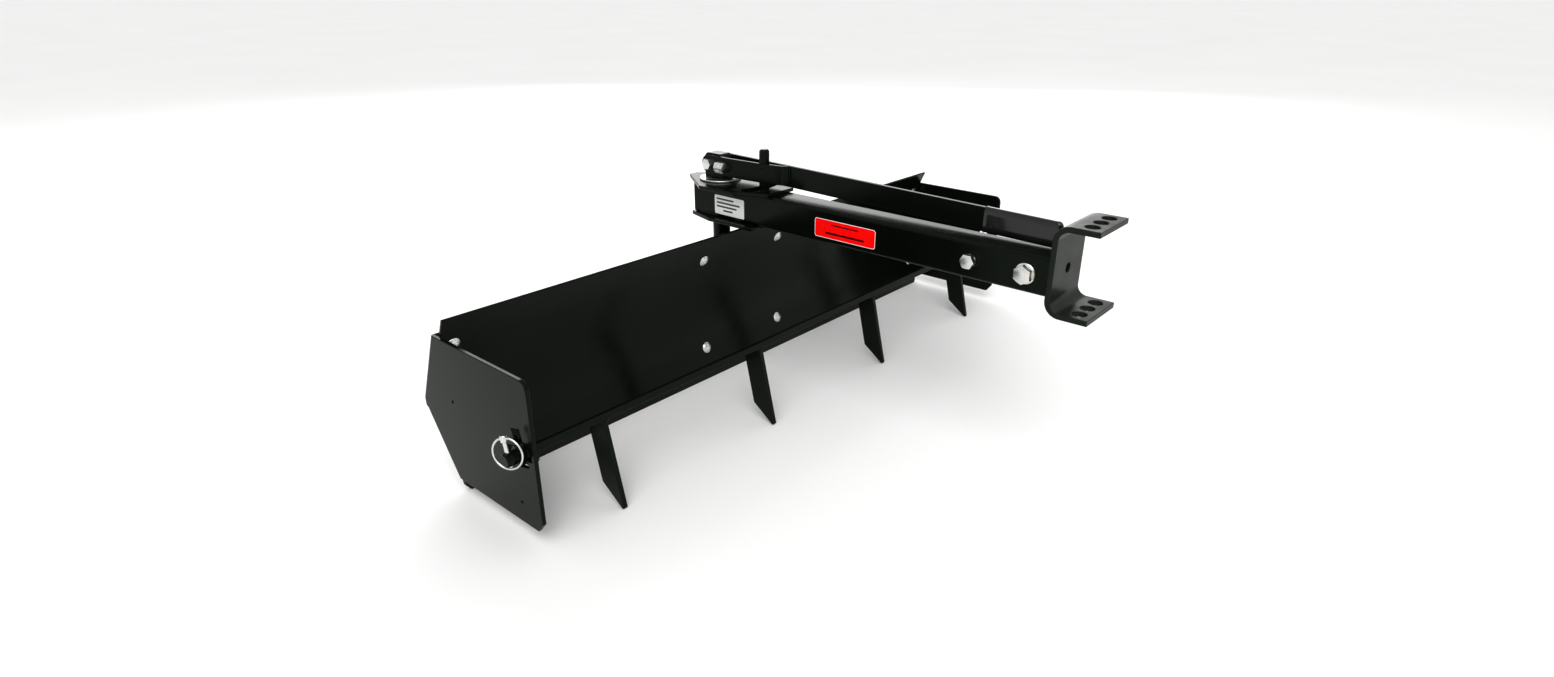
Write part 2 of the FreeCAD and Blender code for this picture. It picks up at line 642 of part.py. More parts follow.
def lynch_pin():
    """A pin through the stub's nose at +X, with a barrel head that is cross-drilled for its ring."""
    x = HALF_WIDTH + LYNCH_OUT
    pin = rod((x, 0, LYNCH_TIP), Z_AXIS, LYNCH_R, LYNCH_HEAD_LOW - LYNCH_TIP + 1)
    tip_edge = [e for e in pin.Edges if abs(e.BoundBox.ZMax - LYNCH_TIP) < 0.01]
    pin = pin.makeChamfer(1.0, tip_edge)
    head = rod((x, 0, LYNCH_HEAD_LOW), Z_AXIS, LYNCH_HEAD_R, LYNCH_HEAD_TOP - LYNCH_HEAD_LOW)
    head_edges = [e for e in head.Edges if e.Curve.TypeId == "Part::GeomCircle"]
    pin = pin.fuse(head.makeFillet(1.0, head_edges)).removeSplitter()
    eye = rod((x, -10, RING_EYE), Y_AXIS, RING_WIRE_R + RUNNING_GAP, 20)
    return leaning(pin.cut(turned(eye, Z_AXIS, -RING_TURN, (x, 0, RING_EYE))))


def lynch_ring():
    """A wire ring at +X: a straight run through the pin's head and a round loop that hangs round the stub."""
    drop = math.sqrt(RING_RADIUS ** 2 - RING_STRAIGHT ** 2)
    half_gap = math.degrees(math.asin(RING_STRAIGHT / RING_RADIUS))
    loop = Part.makeTorus(
        RING_RADIUS, RING_WIRE_R, vec(0, 0, 0), Z_AXIS, -180, 180, 360 - 2 * half_gap
    )
    loop = moved(turned(turned(loop, Z_AXIS, half_gap), Y_AXIS, -90), z=-drop)
    straight = rod((0, -RING_STRAIGHT, 0), Y_AXIS, RING_WIRE_R, 2 * RING_STRAIGHT)
    knees = [Part.makeSphere(RING_WIRE_R, vec(0, side * RING_STRAIGHT, 0)) for side in (-1, 1)]
    ring = loop.fuse([straight] + knees).removeSplitter()
    return leaning(moved(turned(ring, Z_AXIS, -RING_TURN), HALF_WIDTH + LYNCH_OUT, 0, RING_EYE))


# ---- Drawbar ----------------------------------------------------------------------------------------------------
def square_tube(side, wall, corner, y_low, y_high):
    """A square tube along Y with rounded corners, centred on the drawbar's line."""
    half = side / 2
    inner = half - wall
    outer_box = block((-half, y_low, TUBE_MID_Z - half), (half, y_high, TUBE_MID_Z + half))
    outer_box = outer_box.makeFillet(corner, edges_along(outer_box, Y_AXIS, lambda c: True))
    inner_box = block((-inner, y_low - 1, TUBE_MID_Z - inner), (inner, y_high + 1, TUBE_MID_Z + inner))
    inner_corner = max(corner - wall, 0.6)
    inner_box = inner_box.makeFillet(inner_corner, edges_along(inner_box, Y_AXIS, lambda c: True))
    return outer_box.cut(inner_box)


def hitch_bolt_holes(shape):
    for y, radius, _, _, _ in (SMALL_BOLT, LARGE_BOLT):
        shape = shape.cut(rod((-60, y, TUBE_MID_Z), X_AXIS, radius + HOLE_GAP, 120))
    return shape


def sleeve_hole(shape):
    return shape.cut(rod((0, 0, BOTTOM_PLATE_Z - 20), Z_AXIS, SLEEVE_R + RUNNING_GAP, 100))


def drawbar_tube():
    tube = square_tube(TUBE_SIDE, SHEET_T, TUBE_CORNER_R, TUBE_FRONT_Y, TUBE_REAR_Y)
    return hitch_bolt_holes(sleeve_hole(tube))


def pivot_sleeve():
    length = TOP_PLATE_Z - BOTTOM_PLATE_Z
    sleeve = rod((0, 0, BOTTOM_PLATE_Z), Z_AXIS, SLEEVE_R, length)
    return sleeve.cut(rod((0, 0, BOTTOM_PLATE_Z - 1), Z_AXIS, POST_R + RUNNING_GAP, length + 2))


def two_sided(points):
    """A polygon in (x, y) that is the same on both sides of the middle, from its right-hand corners."""
    return list(points) + [(-x, y) for x, y in reversed(points)]


def top_index_plate():
    """The plate on top of the drawbar, with a curved slot for the latch pin."""
    plate = prism_z(two_sided(TOP_PLATE_POINTS), TUBE_TOP_Z, TOP_PLATE_Z)
    plate = plate.makeFillet(5.0, edges_along(plate, Z_AXIS, lambda c: True))
    low = TUBE_TOP_Z - 1
    depth = PLATE_T + 2
    inner = LATCH_RADIUS - SLOT_HALF_WIDTH
    outer = LATCH_RADIUS + SLOT_HALF_WIDTH
    band = Part.makeCylinder(outer, depth, vec(0, 0, low), Z_AXIS, 2 * SWING)
    band = band.cut(Part.makeCylinder(inner, depth, vec(0, 0, low), Z_AXIS))
    plate = plate.cut(turned(band, Z_AXIS, LATCH_TURN - 90 - SWING))
    for side in (-1, 1):
        end = rod((LATCH_X, LATCH_Y, low), Z_AXIS, SLOT_HALF_WIDTH, depth)
        plate = plate.cut(turned(end, Z_AXIS, side * SWING))
    return sleeve_hole(plate)


def bottom_index_plate():
    plate = prism_z(two_sided(BOTTOM_PLATE_POINTS), BOTTOM_PLATE_Z, TUBE_BOTTOM_Z)
    plate = plate.makeFillet(5.0, edges_along(plate, Z_AXIS, lambda c: True))
    return sleeve_hole(plate)


def hitch_bracket():
    """A plate bent to a C that opens forward, with three pin holes through both flanges."""
    line = [
        (HITCH_FRONT_Y, HITCH_TOP_Z),
        (HITCH_WEB_FRONT_Y + STRAP_T, HITCH_TOP_Z),
        (HITCH_WEB_FRONT_Y + STRAP_T, HITCH_BOTTOM_Z),
        (HITCH_FRONT_Y, HITCH_BOTTOM_Z),
    ]
    bracket = prism_x(bent_strip(line, STRAP_T), -HITCH_HALF_WIDTH, HITCH_HALF_WIDTH)
    outer = edges_along(bracket, X_AXIS, lambda c: c.y > HITCH_WEB_FRONT_Y + 1)
    bracket = bracket.makeFillet(HITCH_BEND_R, outer)
    inner = edges_along(bracket, X_AXIS, lambda c: abs(c.y - HITCH_WEB_FRONT_Y) < 0.1)
    bracket = bracket.makeFillet(HITCH_BEND_R - STRAP_T, inner)
    for x in HITCH_PIN_X:
        bracket = bracket.cut(rod((x, HITCH_PIN_Y, HITCH_BOTTOM_Z - 5), Z_AXIS, HITCH_PIN_R, 120))
    bracket = bracket.cut(rod((0, HITCH_WEB_FRONT_Y - 5, HITCH_WEB_HOLE_Z), Y_AXIS, HITCH_WEB_HOLE_R, 20))
    return hitch_zones(bracket)


def hitch_zones(bracket):
    """The bent plate as its two flanges, two bends and web, so that each is a simple solid."""
    bend_y = HITCH_WEB_FRONT_Y + STRAP_T - HITCH_BEND_R
    lower_z = HITCH_BOTTOM_Z + HITCH_BEND_R
    upper_z = HITCH_TOP_Z - HITCH_BEND_R
    zones = [
        ((HITCH_FRONT_Y, upper_z), (bend_y, HITCH_TOP_Z)),
        ((HITCH_FRONT_Y, HITCH_BOTTOM_Z), (bend_y, lower_z)),
        ((bend_y, upper_z), (HITCH_WEB_FRONT_Y + STRAP_T, HITCH_TOP_Z)),
        ((bend_y, HITCH_BOTTOM_Z), (HITCH_WEB_FRONT_Y + STRAP_T, lower_z)),
        ((bend_y, lower_z), (HITCH_WEB_FRONT_Y + STRAP_T, upper_z)),
    ]
    parts = []
    for (y_low, z_low), (y_high, z_high) in zones:
        zone = block((-HITCH_HALF_WIDTH, y_low, z_low), (HITCH_HALF_WIDTH, y_high, z_high))
        parts += bracket.common(zone).Solids
    return parts


def hitch_tongue():
    """The smaller square tube welded behind the hitch bracket, which slides into the drawbar."""
    side = TUBE_SIDE - 2 * (SHEET_T + TONGUE_GAP)
    front = HITCH_WEB_FRONT_Y + STRAP_T
    return hitch_bolt_holes(square_tube(side, SHEET_T, 2.0, front, TONGUE_REAR_Y))


def hitch_bolt(size):
    """A hex bolt through drawbar and tongue, with a washer face under the head."""
    y, radius, flats, head_h, face_r = size
    face_t = 2.6
    start = -TUBE_HALF
    face = rod((start - face_t, y, TUBE_MID_Z), X_AXIS, face_r, face_t)
    head = hex_prism((start - face_t - head_h, y, TUBE_MID_Z), X_AXIS, flats, head_h)
    shank = rod((start - face_t, y, TUBE_MID_Z), X_AXIS, radius, TUBE_SIDE + face_t + 17.0)
    return face.fuse([head, shank]).removeSplitter()


def hitch_nuts():
    nuts = []
    for y, radius, flats, _, _ in (SMALL_BOLT, LARGE_BOLT):
        nut = hex_prism((TUBE_HALF + 2.4, y, TUBE_MID_Z), X_AXIS, flats, 1.7 * radius)
        nuts.append(nut.cut(rod((0, y, TUBE_MID_Z), X_AXIS, radius + RUNNING_GAP, 60)))
    return nuts


def hitch_washers():
    washers = []
    for y, radius, _, _, _ in (SMALL_BOLT, LARGE_BOLT):
        disc = rod((TUBE_HALF, y, TUBE_MID_Z), X_AXIS, 1.9 * radius, 2.4)
        washers.append(disc.cut(rod((0, y, TUBE_MID_Z), X_AXIS, radius + HOLE_GAP, 60)))
    return washers


# ---- Export -----------------------------------------------------------------------------------------------------
def export(name, solids):
    """Write one node, moved so that the origin is under the middle of the scraper."""
    if not isinstance(solids, list):
        solids = [solids]
    placed = [moved(solid, y=-ORIGIN_Y) for solid in solids]
    shape = placed[0] if len(placed) == 1 else Part.makeCompound(placed)
    shape.exportStep(os.path.join("parts", name + ".step"))


def main():
    os.makedirs("parts", exist_ok=True)
    export("moldboard", moldboard())
    export("cutting_edge", cutting_edge())
    export("end_plate_right", end_plate())
    export("end_plate_left", mirrored_x(end_plate()))
    export("corner_brackets", corner_brackets())
    export("carriage_bolts", carriage_bolts())
    export("carriage_washers", carriage_washers())
    export("carriage_nuts", carriage_nuts())
    export("mast", mast())
    export("post_brackets", post_brackets())
    export("pivot_post", pivot_post())
    export("post_collar", disc_on_post(COLLAR_R, BOTTOM_PLATE_Z - PIVOT_GAP - COLLAR_T, COLLAR_T))
    export("pivot_washer", disc_on_post(WASHER_R, WASHER_BOTTOM_Z, WASHER_T))
    export("fulcrum_block", fulcrum_block())
    export("lever_bar", lever_bar())
    export("lever_strap", lever_strap())
    export("lever_grip", lever_grip())
    export("latch_pin", latch_pin())
    export("latch_block", latch_block())
    export("fork_bolts", fork_bolts())
    export("fork_nuts", fork_nuts())
    export("scarifier_bar", scarifier_bar())
    for number, x in enumerate(SHANK_X, start=1):
        export("shank_%d" % number, shank(x))
    for side, place in (("right", lambda shape: shape), ("left", mirrored_x)):
        export("bar_end_" + side, place(bar_end()))
        export("lynch_pin_" + side, place(lynch_pin()))
        export("lynch_ring_" + side, place(lynch_ring()))
    export("drawbar_tube", drawbar_tube())
    export("pivot_sleeve", pivot_sleeve())
    export("top_index_plate", top_index_plate())
    export("bottom_index_plate", bottom_index_plate())
    export("hitch_bracket", hitch_bracket())
    export("hitch_tongue", hitch_tongue())
    export("hitch_bolt_small", hitch_bolt(SMALL_BOLT))
    export("hitch_bolt_large", hitch_bolt(LARGE_BOLT))
    export("hitch_washers", hitch_washers())
    export("hitch_nuts", hitch_nuts())


main()
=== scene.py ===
"""Looks of the box scraper: materials, softened edges, weld beads, fasteners, grip, labels and studio."""
import bmesh
import bpy
import json
import math
import numpy as np
import random
from mathutils import Matrix, Vector

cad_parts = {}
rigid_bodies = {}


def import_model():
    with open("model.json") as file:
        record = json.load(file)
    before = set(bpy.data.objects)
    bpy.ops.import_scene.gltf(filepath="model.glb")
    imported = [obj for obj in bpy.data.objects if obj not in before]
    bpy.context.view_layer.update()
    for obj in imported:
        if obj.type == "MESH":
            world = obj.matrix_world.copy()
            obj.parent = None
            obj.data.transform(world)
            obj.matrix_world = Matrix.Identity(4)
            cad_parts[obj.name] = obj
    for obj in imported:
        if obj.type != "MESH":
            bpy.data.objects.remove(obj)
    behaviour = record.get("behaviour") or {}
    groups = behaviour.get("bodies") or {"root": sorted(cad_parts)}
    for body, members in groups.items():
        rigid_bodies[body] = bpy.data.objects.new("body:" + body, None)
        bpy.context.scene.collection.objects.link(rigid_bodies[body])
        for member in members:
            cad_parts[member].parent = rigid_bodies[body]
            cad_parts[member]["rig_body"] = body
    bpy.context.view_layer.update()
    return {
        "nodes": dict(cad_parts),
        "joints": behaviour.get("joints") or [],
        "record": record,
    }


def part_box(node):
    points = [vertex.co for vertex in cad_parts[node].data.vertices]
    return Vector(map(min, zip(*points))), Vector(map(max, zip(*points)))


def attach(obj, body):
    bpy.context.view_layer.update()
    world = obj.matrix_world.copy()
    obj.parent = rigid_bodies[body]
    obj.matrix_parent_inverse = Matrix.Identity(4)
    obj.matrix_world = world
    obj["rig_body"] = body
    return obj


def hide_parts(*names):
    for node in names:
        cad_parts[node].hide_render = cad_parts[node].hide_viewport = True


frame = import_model()

MM = 0.001
SHANK_LEAN = math.radians(13.5)
LEVER_SLOPE = math.radians(1.05)
random.seed(7)


# ---- Places in the frame -------------------------------------------------------------------------
def joint(name):
    return [entry for entry in frame["joints"] if entry["name"] == name][0]


def joint_point(name):
    return Vector(joint(name)["pos_m"])


def middle(node):
    low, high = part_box(node)
    return (low + high) / 2


def body_of_node(node):
    return frame["nodes"][node]["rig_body"]


POST = joint_point("drawbar_swing")
BAR = joint_point("scarifier_turn")
LEVER = joint_point("lever_lift")
LEAN = Matrix.Translation(BAR) @ Matrix.Rotation(-SHANK_LEAN, 4, "X")
FORK = Matrix.Translation(LEVER) @ Matrix.Rotation(LEVER_SLOPE, 4, "X")


# ---- Material helpers ----------------------------------------------------------------------------
class Surface:
    """A node material under construction, with the object's own coordinates as its texture space."""

    def __init__(self, name):
        self.material = bpy.data.materials.new(name)
        self.material.use_nodes = True
        self.tree = self.material.node_tree
        self.shader = self.tree.nodes["Principled BSDF"]
        self.place = self.tree.nodes.new("ShaderNodeTexCoord").outputs["Object"]

    def node(self, kind, **settings):
        made = self.tree.nodes.new(kind)
        for key, value in settings.items():
            setattr(made, key, value)
        return made

    def link(self, output, target):
        self.tree.links.new(output, target)

    def set(self, **values):
        for key, value in values.items():
            self.shader.inputs[key.replace("_", " ")].default_value = value

    def noise(self, scale, detail, roughness=0.5, stretch=None):
        texture = self.node("ShaderNodeTexNoise")
        texture.inputs["Scale"].default_value = scale
        texture.inputs["Detail"].default_value = detail
        texture.inputs["Roughness"].default_value = roughness
        if stretch:
            mapping = self.node("ShaderNodeMapping")
            mapping.inputs["Scale"].default_value = stretch
            self.link(self.place, mapping.inputs["Vector"])
            self.link(mapping.outputs["Vector"], texture.inputs["Vector"])
        else:
            self.link(self.place, texture.inputs["Vector"])
        return texture.outputs["Fac"]

    def ramp(self, value, low, high, out_low=0.0, out_high=1.0):
        scale = self.node("ShaderNodeMapRange", clamp=True)
        scale.inputs["From Min"].default_value = low
        scale.inputs["From Max"].default_value = high
        scale.inputs["To Min"].default_value = out_low
        scale.inputs["To Max"].default_value = out_high
        self.link(value, scale.inputs["Value"])
        return scale.outputs["Result"]

    def math(self, operation, a, b):
        step = self.node("ShaderNodeMath", operation=operation)
        for socket, value in zip(step.inputs, (a, b)):
            if isinstance(value, (int, float)):
                socket.default_value = value
            else:
                self.link(value, socket)
        return step.outputs[0]

    def blend(self, factor, first, second):
        mix = self.node("ShaderNodeMix", data_type="RGBA")
        self.link(factor, mix.inputs["Factor"])
        for socket, value in ((mix.inputs["A"], first), (mix.inputs["B"], second)):
            if isinstance(value, tuple):
                socket.default_value = (*value, 1.0)
            else:
                self.link(value, socket)
        return mix.outputs["Result"]

    def bump(self, height, distance, strength, under=None):
        relief = self.node("ShaderNodeBump")
        relief.inputs["Distance"].default_value = distance
        relief.inputs["Strength"].default_value = strength
        self.link(height, relief.inputs["Height"])
        if under:
            self.link(under, relief.inputs["Normal"])
        return relief.outputs["Normal"]

    def edges(self, radius):
        """1 within the radius of a sharp edge, 0 on open faces."""
        rounded = self.node("ShaderNodeBevel", samples=4)
        rounded.inputs["Radius"].default_value = radius
        flat = self.node("ShaderNodeNewGeometry").outputs["Normal"]
        dot = self.node("ShaderNodeVectorMath", operation="DOT_PRODUCT")
        self.link(rounded.outputs["Normal"], dot.inputs[0])
        self.link(flat, dot.inputs[1])
        return self.ramp(dot.outputs["Value"], 0.80, 0.985, 1.0, 0.0)


# ---- Materials -----------------------------------------------------------------------------------
def powder_coat(name, base, lighter, rough_low, rough_high, specular):
    """Sprayed and baked paint: fine orange peel on a slow wave, thinner and duller along the edges, whose
    colour is also lightened as a painted edge highlight.
    """
    coat = Surface(name)
    tint = coat.ramp(coat.noise(6.0, 4.0), 0.35, 0.7)
    colour = coat.blend(tint, base, lighter)
    specks = coat.ramp(coat.noise(420.0, 1.0), 0.70, 0.78)
    colour = coat.blend(coat.math("MULTIPLY", specks, 0.10), colour, (0.06, 0.06, 0.055))
    # Sharp edges get a lighter colour: partly a thinner, worn coat, partly a painted edge highlight.
    wear_and_highlight_breakup = coat.ramp(coat.noise(55.0, 3.0), 0.35, 0.65, 0.25, 1.0)
    rim = coat.math("MULTIPLY", coat.edges(0.9 * MM), wear_and_highlight_breakup)
    colour = coat.blend(coat.math("MULTIPLY", rim, 0.35), colour, (0.06, 0.066, 0.06))
    coat.link(colour, coat.shader.inputs["Base Color"])
    gloss = coat.ramp(coat.noise(28.0, 5.0, 0.6), 0.3, 0.7, rough_low, rough_high)
    coat.link(coat.math("ADD", gloss, coat.math("MULTIPLY", rim, 0.12)), coat.shader.inputs["Roughness"])
    wave = coat.bump(coat.noise(30.0, 1.0), 0.5 * MM, 0.05)
    peel = coat.bump(coat.noise(620.0, 1.5), 0.10 * MM, 0.25, wave)
    coat.link(peel, coat.shader.inputs["Normal"])
    coat.set(IOR=1.5, Specular_IOR_Level=specular, Specular_Tint=(0.86, 1.0, 0.82, 1.0))
    return coat.material


def zinc(name):
    """Bright zinc plate: soft cloudy colour, drawn scratches and duller spangles."""
    plate = Surface(name)
    cloud = plate.ramp(plate.noise(90.0, 3.0), 0.35, 0.65)
    plate.link(plate.blend(cloud, (0.70, 0.73, 0.74), (0.76, 0.745, 0.69)), plate.shader.inputs["Base Color"])
    plate.set(Metallic=1.0)
    rough = plate.ramp(plate.noise(240.0, 4.0, 0.65), 0.3, 0.7, 0.20, 0.42)
    plate.link(rough, plate.shader.inputs["Roughness"])
    drawn = plate.bump(plate.noise(700.0, 2.0, 0.5, (1.0, 1.0, 0.12)), 0.08 * MM, 0.35)
    grain = plate.bump(plate.noise(1900.0, 2.0), 0.03 * MM, 0.4, drawn)
    plate.link(grain, plate.shader.inputs["Normal"])
    return plate.material


def vinyl(name):
    """Dipped vinyl: deep black, wet-looking, with a faint sag from dipping."""
    skin = Surface(name)
    shade = skin.ramp(skin.noise(30.0, 2.0), 0.3, 0.7)
    colour = skin.blend(shade, (0.006, 0.006, 0.007), (0.014, 0.014, 0.015))
    skin.link(colour, skin.shader.inputs["Base Color"])
    skin.link(skin.ramp(skin.noise(60.0, 3.0), 0.3, 0.7, 0.10, 0.20), skin.shader.inputs["Roughness"])
    skin.set(Coat_Weight=0.4, Coat_Roughness=0.06, IOR=1.5)
    sag = skin.bump(skin.noise(45.0, 1.0, 0.5, (1.0, 0.3, 1.0)), 0.8 * MM, 0.2)
    fine = skin.bump(skin.noise(900.0, 1.0), 0.04 * MM, 0.2, sag)
    skin.link(fine, skin.shader.inputs["Normal"])
    return skin.material


def film(name, colour, shade, rough):
    """Printed vinyl film: slight print mottle under a glossy laminate, with a few tiny bubbles."""
    face = Surface(name)
    mottle = face.ramp(face.noise(40.0, 2.0), 0.2, 0.8)
    face.link(face.blend(mottle, colour, shade), face.shader.inputs["Base Color"])
    face.link(face.ramp(face.noise(70.0, 2.0), 0.3, 0.7, rough, rough + 0.1), face.shader.inputs["Roughness"])
    bubbles = face.ramp(face.noise(130.0, 0.0), 0.72, 0.80)
    face.link(face.bump(bubbles, 0.15 * MM, 0.3), face.shader.inputs["Normal"])
    face.set(Specular_IOR_Level=0.2, Coat_Weight=0.12, Coat_Roughness=0.08)
    return face.material


def floor_paint(name):
    """A plain pale floor with a barely visible mottle."""
    ground = Surface(name)
    patch = ground.ramp(ground.noise(1.5, 3.0), 0.3, 0.7)
    colour = ground.blend(patch, (0.86, 0.86, 0.855), (0.88, 0.88, 0.875))
    ground.link(colour, ground.shader.inputs["Base Color"])
    ground.set(Roughness=0.75)
    return ground.material


BLACK = powder_coat("black_powder_coat", (0.0024, 0.0040, 0.0024), (0.0042, 0.0062, 0.0040), 0.15, 0.24, 0.17)
WORN = powder_coat("satin_black_paint", (0.005, 0.006, 0.005), (0.010, 0.011, 0.010), 0.34, 0.48, 0.25)
GREY = powder_coat("grey_powder_coat", (0.008, 0.010, 0.008), (0.012, 0.015, 0.012), 0.28, 0.40, 0.25)
ZINC = zinc("zinc_plate")
VINYL = vinyl("black_vinyl")
RED_FILM = film("red_label_film", (0.93, 0.004, 0.004), (0.89, 0.003, 0.003), 0.22)
WHITE_FILM = film("white_label_film", (0.88, 0.91, 0.88), (0.84, 0.87, 0.84), 0.30)
GREY_INK = film("grey_label_ink", (0.05, 0.06, 0.05), (0.07, 0.08, 0.07), 0.30)
DARK_INK = film("dark_label_ink", (0.025, 0.003, 0.003), (0.035, 0.004, 0.004), 0.25)
FLOOR = floor_paint("studio_floor")
FINISH = {
    "black_powder_coat": BLACK,
    "worn_black_paint": WORN,
    "grey_powder_coat": GREY,
    "zinc_plate": ZINC,
    "black_vinyl": VINYL,
}
SLOT_OF_NODE = {part["node"]: part["material_slot"] for part in frame["record"]["subparts"]}


# ---- Mesh helpers --------------------------------------------------------------------------------
def finish_piece(name, bm, material, body, sharp=math.radians(32)):
    """Turn a bmesh into a shaded piece that rides on a body."""
    mesh = bpy.data.meshes.new(name)
    bmesh.ops.recalc_face_normals(bm, faces=bm.faces)
    bm.to_mesh(mesh)
    bm.free()
    mesh.shade_smooth()
    mesh.set_sharp_from_angle(angle=sharp)
    mesh.materials.append(material)
    piece = bpy.data.objects.new(name, mesh)
    bpy.context.scene.collection.objects.link(piece)
    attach(piece, body)
    return piece


def clean_copy(node):
    """The CAD node's mesh with its split corners joined and its flat faces made whole."""
    mesh = frame["nodes"][node].data.copy()
    if "custom_normal" in mesh.attributes:
        mesh.attributes.remove(mesh.attributes["custom_normal"])
    bm = bmesh.new()
    bm.from_mesh(mesh)
    bpy.data.meshes.remove(mesh)
    bmesh.ops.remove_doubles(bm, verts=bm.verts, dist=2e-6)
    return bm


def without_seams(bm):
    """Delete the doubled faces where two solids of one piece of metal touch."""
    planes = {}
    for face in bm.faces:
        for axis in range(3):
            if abs(face.normal[axis]) > 0.999:
                place = (axis, round(face.calc_center_median()[axis] / (0.02 * MM)))
                planes.setdefault(place, []).append(face)
    for faces in planes.values():
        signs = {max(face.normal, key=abs) > 0 for face in faces}
        if len(signs) == 2:
            bmesh.ops.delete(bm, geom=faces, context="FACES")


def softened(node, width):
    """Stands for a CAD node: the same shape, with its sharp edges broken by a small rounding."""
    bm = clean_copy(node)
    if node == "hitch_bracket":
        without_seams(bm)
    bmesh.ops.dissolve_limit(bm, angle_limit=math.radians(0.5), verts=bm.verts, edges=bm.edges)
    slot = SLOT_OF_NODE[node]
    piece = finish_piece(node + "_soft", bm, FINISH[slot], body_of_node(node))
    bevel = piece.modifiers.new("edge", "BEVEL")
    bevel.width = width
    bevel.segments = 2
    bevel.limit_method = "ANGLE"
    bevel.angle_limit = math.radians(30)
    bevel.use_clamp_overlap = False
    shading = piece.modifiers.new("flat_faces", "WEIGHTED_NORMAL")
    shading.mode = "FACE_AREA"
    shading.weight = 50
    shading.keep_sharp = True
    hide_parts(node)
    return piece


def ring_of(centre, first, second, radius_a, radius_b, steps):
    """Points of an ellipse about a centre, in the plane of two directions."""
    points = []
    for k in range(steps):
        turn = 2 * math.pi * k / steps
        points.append(centre + first * (radius_a * math.cos(turn)) + second * (radius_b * math.sin(turn)))
    return points


def skin_rings(bm, rings, closed=False):
    """Join rings of points with quads, and cap both ends unless the run is closed."""
    loops = [[bm.verts.new(p) for p in ring] for ring in rings]
    pairs = list(zip(loops, loops[1:]))
    if closed:
        pairs.append((loops[-1], loops[0]))
    for a, b in pairs:
        for k in range(len(a)):
            n = (k + 1) % len(a)
            bm.faces.new((a[k], a[n], b[n], b[k]))
    if not closed:
        bm.faces.new(loops[0][::-1])
        bm.faces.new(loops[-1])


def resampled(points, step, closed):
    """Evenly spaced points along a polyline, with the distance of each."""
    corners = [Vector(p) for p in points]
    if closed:
        corners.append(corners[0])
    lengths = [(b - a).length for a, b in zip(corners, corners[1:])]
    total = sum(lengths)
    count = max(4, int(round(total / step)))
    made = []
    for k in range(count if closed else count + 1):
        left = total * k / count
        for a, b, run in zip(corners, corners[1:], lengths):
            if left <= run + 1e-12:
                made.append((a.lerp(b, left / run if run else 0.0), total * k / count))
                break
            left -= run
    return made, total


def weld_bead(bm, points, radius, closed=False):
    """A stacked-coin weld bead along a line: overlapping ripples, a little uneven, tapering at its ends."""
    pitch = radius * 0.75
    aslant = Vector((0.31, 0.17, 0.93))
    made, total = resampled(points, pitch / 5, closed)
    phase = random.random()
    rings = []
    for k, (place, run) in enumerate(made):
        after = made[(k + 1) % len(made)][0] if closed or k + 1 < len(made) else None
        before = made[k - 1][0] if closed or k else None
        along = ((after or place) - (before or place)).normalized()
        side = along.cross(aslant).normalized()
        up = along.cross(side)
        coin = (run / pitch + phase) % 1.0
        swell = 0.86 + 0.14 * math.sqrt(1 - (2 * coin - 1) ** 2)
        uneven = 1.0 + 0.07 * math.sin(run / pitch * 1.7 + 5 * phase)
        size = radius * swell * uneven
        if not closed:
            edge = min(run, total - run) / (1.4 * radius)
            size *= math.sqrt(max(0.02, 1 - (1 - min(edge, 1.0)) ** 2))
        rings.append(ring_of(place, side, up, size, size, 12))
    skin_rings(bm, rings, closed)


def welds(name, lines, radius, body):
    """Several weld beads as one piece. A line is a list of points, or (points, True) if it closes."""
    bm = bmesh.new()
    for line in lines:
        closed = isinstance(line, tuple)
        weld_bead(bm, line[0] if closed else line, radius, closed)
    return finish_piece(name, bm, BLACK, body, math.radians(60))


# ---- Fasteners -----------------------------------------------------------------------------------
def islands(node):
    """The separate solids of a CAD node, each as an array of its points."""
    bm = clean_copy(node)
    bm.verts.ensure_lookup_table()
    seen = set()
    groups = []
    for start in bm.verts:
        if start.index in seen:
            continue
        stack, group = [start], []
        seen.add(start.index)
        while stack:
            vert = stack.pop()
            group.append(vert.co.copy())
            for edge in vert.link_edges:
                other = edge.other_vert(vert)
                if other.index not in seen:
                    seen.add(other.index)
                    stack.append(other)
        groups.append(np.array(group))
    bm.free()
    return groups


def seat(points, longest):
    """A fastener's frame, with its length and its reach from the axis.

    The origin is at its head, Z runs along its axis and X points to a hexagon corner.
    """
    low, high = points.min(0), points.max(0)
    centre = (low + high) / 2
    _, vectors = np.linalg.eigh(np.cov((points - points.mean(0)).T))
    axis = vectors[:, 2 if longest else 0]
    along = (points - centre) @ axis
    outward = (points - centre) - np.outer(along, axis)
    distance = np.linalg.norm(outward, axis=1)
    if along[distance > 0.9 * distance.max()].mean() > 0:
        axis, along = -axis, -along
    corner = Vector(outward[np.argmax(distance)]).normalized()
    z = Vector(axis).normalized()
    x = (corner - z * corner.dot(z)).normalized()
    y = z.cross(x)
    origin = Vector(centre + axis * along.min())
    basis = Matrix((x, y, z)).transposed().to_4x4()
    return Matrix.Translation(origin) @ basis, float(along.max() - along.min()), float(distance.max())


def transformed(bm, start, place):
    """Move the vertices made since a count to a place."""
    bm.verts.ensure_lookup_table()
    for vert in bm.verts[start:]:
        vert.co = place @ vert.co


def turned_profile(bm, profile, steps=48):
    """A solid of revolution about Z from (radius, height) points. Either may be a function of the angle."""
    rings = []
    for radius, height in profile:
        ring = []
        for k in range(steps):
            turn = 2 * math.pi * k / steps
            r = radius(turn) if callable(radius) else radius
            z = height(turn) if callable(height) else height
            ring.append(Vector((r * math.cos(turn), r * math.sin(turn), z)))
        rings.append(ring)
    skin_rings(bm, rings)


def hex_radius(half_flats, turn):
    """Distance from the centre to the side of a hexagon whose corner is at angle 0."""
    local = (turn % (math.pi / 3)) - math.pi / 6
    return half_flats / math.cos(local)


